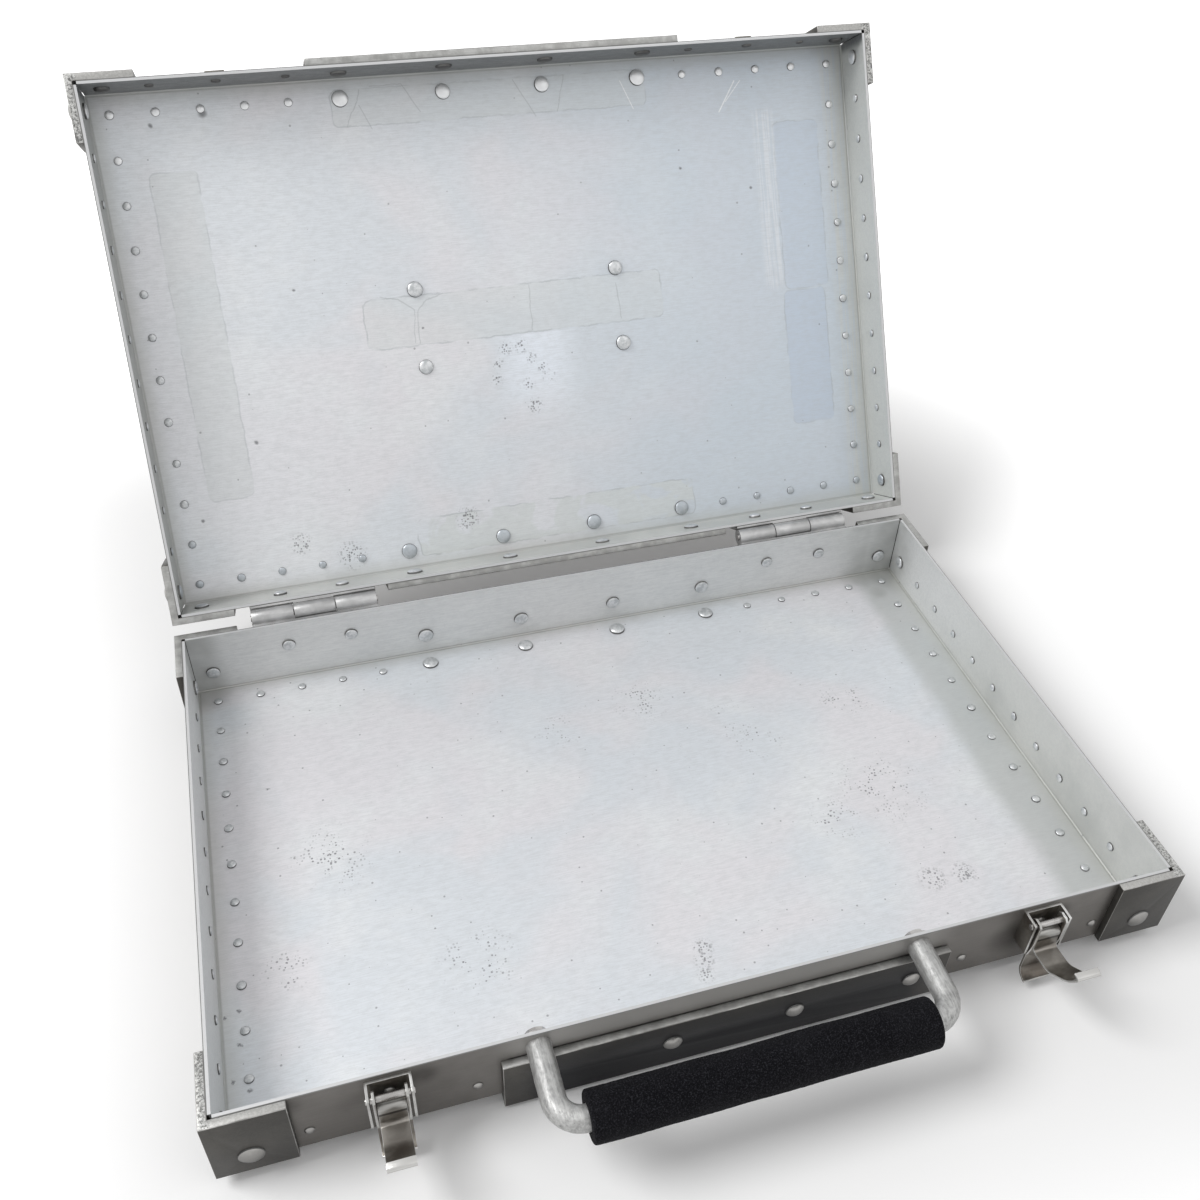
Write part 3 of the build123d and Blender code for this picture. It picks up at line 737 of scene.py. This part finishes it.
def foam():
    """Black closed cell foam with fine open pores on its cut skin."""
    look = new_look("grip_foam")
    pores = look.node("TexVoronoi", {"Vector": look.place, "Scale": 1100})
    grain = look.noise(1500, roughness=0.8)
    look.blend(grain, 0.48, 0.68, (0.001, 0.001, 0.002), (0.028, 0.028, 0.033))
    look.tint((0.018, 0.018, 0.021), look.fade(look.noise(45, 3), 0.45, 0.75), 0.3)
    look.relief(grain, 0.25 * mm)
    look.relief(look.fade(pores.outputs["Distance"], 0.15, 0.55), 0.3 * mm)
    look.fill(look.nodes["Principled BSDF"], {"Specular IOR Level": 0.12})
    return look.finish(0.9, 0)


def add_object(name, data, materials=()):
    for material in materials:
        data.materials.append(material)
    made = bpy.data.objects.new(name, data)
    bpy.context.scene.collection.objects.link(made)
    return made


def new_mesh(name, build):
    mesh = bpy.data.meshes.new(name)
    build.to_mesh(mesh)
    build.free()
    return mesh


def add_piece(name, build, body, materials, node=None):
    """Visible piece from a bmesh, riding on its body, in place of a CAD node if one is given."""
    build.normal_update()
    mesh = new_mesh(name, build)
    mesh.shade_smooth()
    mesh.set_sharp_from_angle(angle=smooth_below)
    piece = add_object(name, mesh, materials)
    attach(piece, body)
    if node:
        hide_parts(node)
    return piece


def facing(point, axis):
    """Placement whose z axis is the given direction at the given point."""
    return Matrix.Translation(point) @ axis.to_track_quat("Z", "Y").to_matrix().to_4x4()


def circle(count):
    """Angles round a circle."""
    return [2 * pi * index / count for index in range(count)]


def join_rings(build, rings):
    """Faces between neighbouring rings of vertices, band by band; a ring may be a single point."""
    faces = []
    for lower, upper in zip(rings, rings[1:]):
        count = max(len(lower), len(upper))
        for index in range(count):
            follow = (index + 1) % count
            corners = [lower[index % len(lower)], lower[follow % len(lower)]]
            corners += [upper[follow % len(upper)], upper[index % len(upper)]]
            faces.append(build.faces.new(list(dict.fromkeys(corners))))
    return faces


def lathe(build, profile, placement, segments, wobble=0, seed=0):
    """Turn (radius, height) points round the placement's z axis."""
    rings = []
    for radius, height in profile:
        up = Vector((0, 0, height))
        if radius == 0:
            rings.append([build.verts.new(placement @ up)])
            continue
        ring = []
        for turn in circle(segments):
            oval = sin(2 * turn + seed) + 0.5 * sin(3 * turn + 2 * seed)
            out = Vector((cos(turn), sin(turn), 0)) * radius * (1 + wobble * oval)
            ring.append(build.verts.new(placement @ (out + up)))
        rings.append(ring)
    return join_rings(build, rings)


def head_profile(radius, height):
    """Hammered head with a full dome, from its rim to its top."""
    points = [(radius, 0), (radius * 0.995, height * 0.16)]
    for index in range(1, head_steps + 1):
        turn = pi / 2 * index / head_steps
        out = radius * 0.98 * cos(turn) if index < head_steps else 0
        points.append((out, height * (0.2 + 0.8 * sin(turn) ** head_bulge)))
    return points


def domed_profile(radius, height):
    """Evenly curved head from its rim to its top."""
    points = [(radius, 0), (radius * 0.99, height * 0.2)]
    width, rise = 0.95 * radius, 0.72 * height
    ball = (width ** 2 + rise ** 2) / (2 * rise)
    for index in range(head_steps + 1):
        turn = asin(width / ball) * (1 - index / head_steps)
        points.append((ball * sin(turn), height - ball * (1 - cos(turn))))
    return points


def set_rivet(build, draw, point, axis, grip, diameter, height, shank):
    """Set rivet with two heads; the point is on the outer surface and the axis points out."""
    outer = domed_profile(diameter / 2 * draw.uniform(0.96, 1.04), height)
    inner_radius = (corner_inner_head if diameter == corner_rivet_head else diameter) / 2
    inner = head_profile(inner_radius * draw.uniform(0.94, 1.04), height * draw.uniform(0.85, 1))
    profile = [(radius, z - head_sunk) for radius, z in reversed(outer)]
    profile += [(shank / 2, -head_sunk), (shank / 2, -grip / 2), (shank / 2, head_sunk - grip)]
    profile += [(radius, head_sunk - grip - z) for radius, z in inner]
    placement = facing(point, axis) @ Matrix.Rotation(draw.uniform(0, any_turn), 4, "Z")
    wobble = draw.uniform(0, 0.02)
    faces = lathe(build, profile, placement, rivet_segments, wobble, draw.uniform(0, any_turn))
    outer_end = len(outer) - 1
    inner_start = len(faces) // rivet_segments - len(inner) + 1
    for index, face in enumerate(faces):
        band = index // rivet_segments
        if band in (outer_end - 2, outer_end - 1, inner_start, inner_start + 1):
            face.material_index = 2
        elif band < outer_end:
            face.material_index = 1


def to_row(half, point, axis):
    """Point and direction of a half's frame in the row frame."""
    matrix = half_frames[half]
    return matrix @ point, (matrix.to_3x3() @ axis).normalized()


def wall_point(side, along, out, up):
    """Point on one side of a half: along the wall, out from the middle, and up."""
    axis = Vector(outward[side])
    run = Vector((abs(axis.y), abs(axis.x), 0))
    return axis * out + run * along + Vector((0, 0, up)), axis


def floor_point(x, y, z=0):
    """Point on the outside of a half's floor or panel."""
    return Vector((x, y, z)), Vector((0, 0, -1))


def half_rivets(half):
    """All the set rivets of one half."""
    up = wall_rivet_heights[half]
    column_x = half_x - row_inset
    row_y = half_y - row_inset
    out_x = half_x + angle_thickness
    out_y = half_y + angle_thickness
    corners, walls, floors = [], [], []
    for side, y_side in (("front", -1), ("back", 1)):
        for x_name, x_side in (("left", -1), ("right", 1)):
            corners.append(wall_point(side, x_side * column_x, out_y, up[side]))
            corners.append(wall_point(x_name, y_side * row_y, out_x, up["side"]))
        for step in (-1.5, -0.5, 0.5, 1.5):
            x = centre_rivet_pitch * step
            walls.append(wall_point(side, x, out_y, up[side]))
            floors.append(floor_point(x, y_side * row_y, -angle_thickness))
    hinges, latches, panel = [], [], []
    for x_side in (-1, 1):
        for step in (-1, 1):
            x = x_side * hinge_x + step * hinge_rivet_step
            hinges.append(wall_point("back", x, half_y + leaf_thickness, hinge_rivet_heights[half]))
            panel.append(floor_point(x_side * panel_rivet_x, step * panel_rivet_y))
        latch_height = latch_rivet_heights[half]
        latches.append(wall_point("front", x_side * latch_x, half_y + latch_sheet, latch_height))
    row = [small_row_first + index * small_row_pitch for index in range(small_row_count)]
    small = []
    for y_side in (-1, 1):
        for x_side in (-1, 1):
            small += [floor_point(x_side * x, y_side * row_y) for x in row]
    pitch = 2 * row_y / (small_column_count - 1)
    for x_side, x_name in ((-1, "left"), (1, "right")):
        for index in range(small_column_count):
            y = -row_y + index * pitch
            small.append(floor_point(x_side * column_x, y))
            if 0 < index < small_column_count - 1:
                small.append(wall_point(x_name, y, half_x, up["side"]))
    for x in (row[0], row[-1]):
        for x_side in (-1, 1):
            small.append(wall_point("front", x_side * x, half_y, up["front"]))

    thick = angle_thickness + skin
    groups = [
        ("corner", corners, thick, corner_rivet_head),
        ("wall", walls, thick, rivet_head),
        ("floor", floors, thick, rivet_head),
        ("hinge", hinges, leaf_thickness + skin, hinge_rivet_head),
        ("latch", latches, latch_sheet + skin, latch_rivet_head),
        ("small", small, skin, small_rivet_head),
    ]
    if half == "lid":
        groups.append(("centre", panel, skin, rivet_head))
    latch_node = {"base": "latch_rivets", "lid": "catch_rivets"}[half]
    names = {"latch": (f"{latch_node}_set", latch_node), "small": (f"{half}_small_rivets", None)}
    sizes = {"latch": latch_rivet, "small": small_rivet}
    metals = (rivet_inside[half], rivet_outside, rivet_edge)
    for seed, (kind, places, grip, head) in enumerate(groups, first_rivet_seed):
        draw = random.Random(seed)
        build = bmesh.new()
        for point, axis in places:
            point, axis = to_row(half, point, axis)
            set_rivet(build, draw, point, axis, grip, head, *sizes.get(kind, large_rivet))
        name, node = names.get(kind, (f"{half}_{kind}_rivet_set", f"{half}_{kind}_rivets"))
        add_piece(name, build, half_bodies[half], metals, node)


def is_cut(face, stock, up):
    """Whether a face is a cut edge: as narrow as the stock is thick, and facing up if that is
    given, so that only edges facing up turn bright, as painted light from above.
    """
    sharp = [edge.calc_length() for edge in face.edges if edge.calc_face_angle(0) > sharp_from]
    narrow = bool(sharp) and 2 * face.calc_area() / sum(sharp) < cut_share * stock
    return narrow and (up is None or face.normal.dot(up) > facing_share)


def dressed(node, body, materials, slot, ease, stock=0, up=None):
    """Copy of a CAD node with its sharp edges eased, in place of the node.

    The materials are for its faces, for the cut edges of its stock (on the angles only those facing
    up, as painted light from above) and for the eased edges.
    """
    build = bmesh.new()
    build.from_mesh(frame["nodes"][node].data)
    bmesh.ops.remove_doubles(build, verts=build.verts, dist=same_place)
    bmesh.ops.dissolve_limit(build, angle_limit=flat_below, verts=build.verts, edges=build.edges)
    build.normal_update()
    for face in build.faces:
        face.smooth = False
        face.material_index = 1 if is_cut(face, stock, up) else 0
    blank = add_object("blank", new_mesh("blank", build), materials)
    bevel = blank.modifiers.new("ease", "BEVEL")
    bevel.width = ease
    bevel.segments = ease_segments
    bevel.limit_method = "ANGLE"
    bevel.angle_limit = eased_from
    bevel.material = 2
    eased = blank.evaluated_get(bpy.context.evaluated_depsgraph_get())
    result = bmesh.new()
    result.from_mesh(eased.to_mesh())
    bpy.data.objects.remove(blank)
    return add_piece(node + "_dressed", result, body, materials, node)


def uneven(place, swells):
    """How far a point of an uneven skin lies outside its even shape."""
    coarse, fine, sunk = swells
    return sum(noise.noise(place * scale) * depth for scale, depth in (coarse, fine)) - sunk


def rod_path():
    """Centre points of the handle rod from wall to wall, with their directions."""
    y_wall = case_y - half_y
    z = tray_low.z + handle_height
    y_bar = y_wall - handle_reach
    straight = handle_reach - handle_bend
    reach = handle_arm_x - handle_bend
    half_path = []
    for index in range(arm_steps):
        y = y_wall - straight * index / arm_steps
        half_path.append((Vector((handle_arm_x, y, z)), Vector((0, -1, 0))))
    centre = Vector((reach, y_bar + handle_bend, z))
    for index in range(bend_steps + 1):
        turn = pi / 2 * index / bend_steps
        out = Vector((cos(turn), -sin(turn), 0))
        half_path.append((centre + out * handle_bend, Vector((-sin(turn), -cos(turn), 0))))
    along = Vector((-1, 0, 0))
    for index in range(1, bar_steps):
        half_path.append((Vector((reach - reach * index / bar_steps, y_bar, z)), along))
    other = [(Vector((-p.x, p.y, p.z)), Vector((d.x, -d.y, 0))) for p, d in reversed(half_path)]
    return half_path + [(Vector((0, y_bar, z)), along)] + other


def handle_rod():
    """Bent round rod with a rough, hammered skin, and a stud on each end."""
    path = rod_path()
    wall, inward = path[0][0], Vector((0, 1, 0))
    neck = stud_radius - stud_end_ease
    depths = ((stud_length, neck), (stud_length - stud_end_ease, stud_radius), (0, stud_radius))
    stud = [(wall + inward * depth, -inward, radius) for depth, radius in depths]
    other = [(Vector((-p.x, p.y, p.z)), inward, radius) for p, _, radius in reversed(stud)]
    course = stud + [(point, direction, rod_radius) for point, direction in path] + other
    build = bmesh.new()
    up = Vector((0, 0, 1))
    rings = []
    for point, direction, radius in course:
        side = up.cross(direction)
        ring = []
        for turn in circle(rod_segments):
            out = side * cos(turn) + up * sin(turn)
            place = point + out * radius
            if radius == rod_radius:
                place += out * uneven(place, rod_dents)
            ring.append(build.verts.new(place))
        rings.append(ring)
    join_rings(build, rings)
    build.faces.new(list(reversed(rings[0])))
    build.faces.new(rings[-1])
    bmesh.ops.recalc_face_normals(build, faces=build.faces)
    return add_piece("handle_rod_cast", build, "root", [rod_metal], "handle_rod")


def handle_grip():
    """Foam sleeve, open at both ends, with rounded rims and a slightly uneven skin."""
    build = bmesh.new()
    reach = handle_arm_x - handle_bend - grip_end_gap
    centre = Vector((0, case_y - half_y - handle_reach, tray_low.z + handle_height))
    bore = rod_radius + grip_play
    rim = [(bore, -reach + grip_bore_ease[1]), (bore + grip_bore_ease[0], -reach)]
    for index in range(grip_round_steps + 1):
        turn = pi / 2 * index / grip_round_steps
        radius = grip_radius - grip_end_round * (1 - sin(turn))
        rim.append((radius, -reach + grip_end_round * (1 - cos(turn))))
    start = grip_end_round - reach
    middle = [(grip_radius, start - 2 * start * i / grip_steps) for i in range(1, grip_steps)]
    other = [(radius, -along) for radius, along in reversed(rim)]
    rings = []
    for radius, along in rim + middle + other:
        ring = []
        for turn in circle(grip_segments):
            out = Vector((0, cos(turn), sin(turn)))
            place = centre + out * radius + Vector((along, 0, 0))
            if radius > bore + mm:
                place += out * uneven(place, foam_swells)
            ring.append(build.verts.new(place))
        rings.append(ring)
    join_rings(build, rings + rings[:1])
    bmesh.ops.recalc_face_normals(build, faces=build.faces)
    grip = add_piece("handle_foam_sleeve", build, "root", [grip_foam], "handle_grip")


def hex_nut(build, placement):
    """Nut with chamfered corners, whose outer face is at z = 0, round a smooth bore."""
    chamfer = radians(30)
    flat = nut_radius * cos(chamfer)
    down = Vector((0, 0, -1))
    bore, face, crown, seat = [], [], [], []
    for turn in circle(nut_segments):
        reach = flat / cos(turn % radians(60) - radians(30))
        out = Vector((cos(turn), sin(turn), 0))
        drop = (reach - flat) * tan(chamfer) + nut_crown_drop
        bore.append(build.verts.new(placement @ (out * nut_bore_radius)))
        face.append(build.verts.new(placement @ (out * nut_face_share * flat)))
        crown.append(build.verts.new(placement @ (out * reach + down * drop)))
        seat.append(build.verts.new(placement @ (out * reach + down * nut_height)))
    depth = placement.to_3x3() @ (down * nut_height)
    inner = [build.verts.new(vert.co + depth) for vert in bore]
    join_rings(build, [bore, face, crown, seat, inner, bore])


def handle_fixings():
    """Hexagon nuts and round washers on the studs, on the inside of the front wall."""
    nuts = bmesh.new()
    washers = bmesh.new()
    hole, rim, low = washer_hole_radius, washer_radius, -washer_thickness
    ring = [(hole, 0), (rim - washer_ease, 0), (rim, -washer_ease), (rim, low), (hole, low)]
    for x_side in (-1, 1):
        seat = Vector((x_side * handle_arm_x, skin - half_y + washer_thickness, handle_height))
        point, axis = to_row("base", seat, Vector((0, 1, 0)))
        hex_nut(nuts, facing(point + axis * nut_height, axis))
        lathe(washers, ring + ring[:1], facing(point, axis), washer_segments)
    bmesh.ops.remove_doubles(washers, verts=washers.verts, dist=same_place)
    for kind, build in (("nut", nuts), ("washer", washers)):
        bmesh.ops.recalc_face_normals(build, faces=build.faces)
        add_piece(f"handle_{kind}_set", build, "root", [pin_metal], f"handle_{kind}s")


def paint(node, material):
    """Give a CAD node that keeps its shape its material."""
    mesh = frame["nodes"][node].data
    mesh.materials.clear()
    mesh.materials.append(material)


def studio():
    """Pale floor, soft lamps and a white surround."""
    floor_mesh = bpy.data.meshes.new("floor")
    reach = floor_reach
    corners = [(-reach, -reach, 0), (reach, -reach, 0), (reach, reach, 0), (-reach, reach, 0)]
    floor_mesh.from_pydata(corners, [], [(0, 1, 2, 3)])
    look = new_look("floor_paper")
    add_object("floor", floor_mesh, [look.owner])
    look.nodes.remove(look.nodes["Principled BSDF"])
    x, y, _ = look.axes()
    out = look.vector(*[
        look.larger(look.minus(look.size(value), edge), 0)
        for value, edge in ((x, tray_high.x), (y, cad_box[1].y))
    ])
    away = look.fade(look.vector_math("LENGTH", out), 0, glow_reach)
    level = look.linear(away, far_glow - floor_glow, floor_glow)
    diffuse = look.node("BsdfDiffuse", {"Color": (floor_tone,) * 3})
    glow = {"Color": (1, 1, 1), "Strength": look.times(look.seen(), level)}
    glow = look.node("Emission", glow)
    both = look.node("AddShader", {0: diffuse.outputs[0], 1: glow.outputs[0]})
    look.fill(look.nodes["Material Output"], {"Surface": both.outputs[0]})

    world = bpy.data.worlds.new("surround")
    bpy.context.scene.world = world
    look = Look(world)
    strength = look.node("MapRange", {"Value": look.seen(), "To Min": world_light})
    light = {"Color": (1, 1, 1), "Strength": strength.outputs["Result"]}
    look.fill(look.nodes["Background"], light)

    for name, place, size, power in lamps:
        data = bpy.data.lights.new(name, "AREA")
        data.shape = "DISK"
        data.size = size
        data.energy = power
        turn = (lamp_aim - Vector(place)).to_track_quat("-Z", "Y")
        add_object(name, data).matrix_world = Matrix.Translation(place) @ turn.to_matrix().to_4x4()


def camera():
    """Camera where the photograph was taken from, for its 1200 x 1200 frame."""
    azimuth = radians(18.082)
    tilt = radians(40.807)
    roll = radians(-2.194)
    image_size = 1200
    focal_pixels = 1229.325
    centre_u = 611.354
    centre_v = 591.517
    stand = Vector((-0.157799, -0.49673, 0.552942))
    turn = Matrix.Rotation(-azimuth, 4, "Z") @ Matrix.Rotation(pi / 2 - tilt, 4, "X")
    turn = turn @ Matrix.Rotation(-roll, 4, "Z")
    data = bpy.data.cameras.new("camera")
    data.sensor_width = 36
    data.lens = data.sensor_width * focal_pixels / image_size
    data.shift_x = (image_size / 2 - centre_u) / image_size
    data.shift_y = (centre_v - image_size / 2) / image_size
    shot = add_object("camera", data)
    shot.matrix_world = Matrix.Translation(stand) @ turn
    bpy.context.scene.camera = shot


rivet_inside = {half: rivet_inner_metal(half) for half in heights}
rivet_outside = rivet_outer_metal()
rivet_edge = plain_metal("rivet_edge", (0.1, 0.1, 0.098), (0.2, 0.2, 0.195), 0.55)
hinge_metal = plain_metal("hinge_metal", (0.38, 0.38, 0.38), (0.55, 0.55, 0.55), 0.36, "x")
hinge_edge = plain_metal("hinge_edge", (0.04, 0.04, 0.038), (0.1, 0.1, 0.095), 0.5)
rod_metal = rod_skin()
latch_metal = plain_metal("latch_metal", (0.115, 0.1, 0.085), (0.25, 0.235, 0.21), 0.34)
latch_edge = plain_metal("latch_edge", (0.4, 0.395, 0.38), (0.66, 0.66, 0.65), 0.32)
pin_metal = plain_metal("pin_metal", (0.34, 0.33, 0.32), (0.55, 0.54, 0.53), 0.28)
worn_edge = plain_metal("worn_edge", (0.22, 0.215, 0.205), (0.48, 0.475, 0.46), 0.36)
grip_foam = foam()
sawn_edge = sawn_metal()
trimmed_edge = plain_metal("trimmed_edge", (0.3, 0.3, 0.29), (0.46, 0.46, 0.45), 0.4, "x", 160)

for half, body in half_bodies.items():
    paint(f"{half}_inner_tray", sheet_inside(half))
    paint(f"{half}_outer_tray", sheet_outside(half))
    metal = angle_metal(half)
    # Only the cut edges of the angles that face up this half get the cut-edge metals, as painted
    # light from above
    up = to_row(half, Vector((0, 0, 0)), Vector((0, 0, 1)))[1]
    for side, sawn in (("front", sawn_edge), ("back", trimmed_edge)):
        for node, cut_edge in (
            (f"{half}_centre_angle_{side}", trimmed_edge),
            (f"{half}_corner_angle_{side}_left", sawn),
            (f"{half}_corner_angle_{side}_right", sawn),
        ):
            metals = (metal, cut_edge, worn_edge)
            dressed(node, body, metals, "angle", angle_ease, angle_thickness, up)
    half_rivets(half)
hinge_metals = (hinge_metal, hinge_metal, hinge_edge)
pin_metals = (pin_metal,) * 3
latch_metals = (latch_metal, latch_edge, latch_edge)
for hand in ("left", "right"):
    claw_metals = (claw_metal(hand), latch_edge, latch_edge)
    lever, claw = f"lever_{hand}", f"claw_{hand}"
    for node, body, metals, slot, *sizes in (
        ("hinge_base_leaf", "root", hinge_metals, "hinge", base_leaf_ease),
        ("hinge_lid_leaf", "lid", hinge_metals, "hinge", lid_leaf_ease),
        ("hinge_pin", "root", pin_metals, "pin_steel", pin_ease),
        ("latch_bracket", "root", latch_metals, "latch_steel", latch_ease, latch_sheet),
        ("lever_pin", "root", pin_metals, "pin_steel", pin_ease),
        ("latch_lever", lever, latch_metals, "latch_steel", latch_ease, latch_sheet),
        ("claw_pin", lever, pin_metals, "pin_steel", latch_ease),
        ("latch_claw", claw, claw_metals, "latch_steel", latch_ease, latch_sheet),
        ("catch", "lid", latch_metals, "latch_steel", latch_ease, latch_sheet),
    ):
        dressed(f"{node}_{hand}", body, metals, slot, *sizes)
handle_rod()
handle_grip()
handle_fixings()
studio()
camera()
bpy.context.scene.view_settings.view_transform = "Standard"
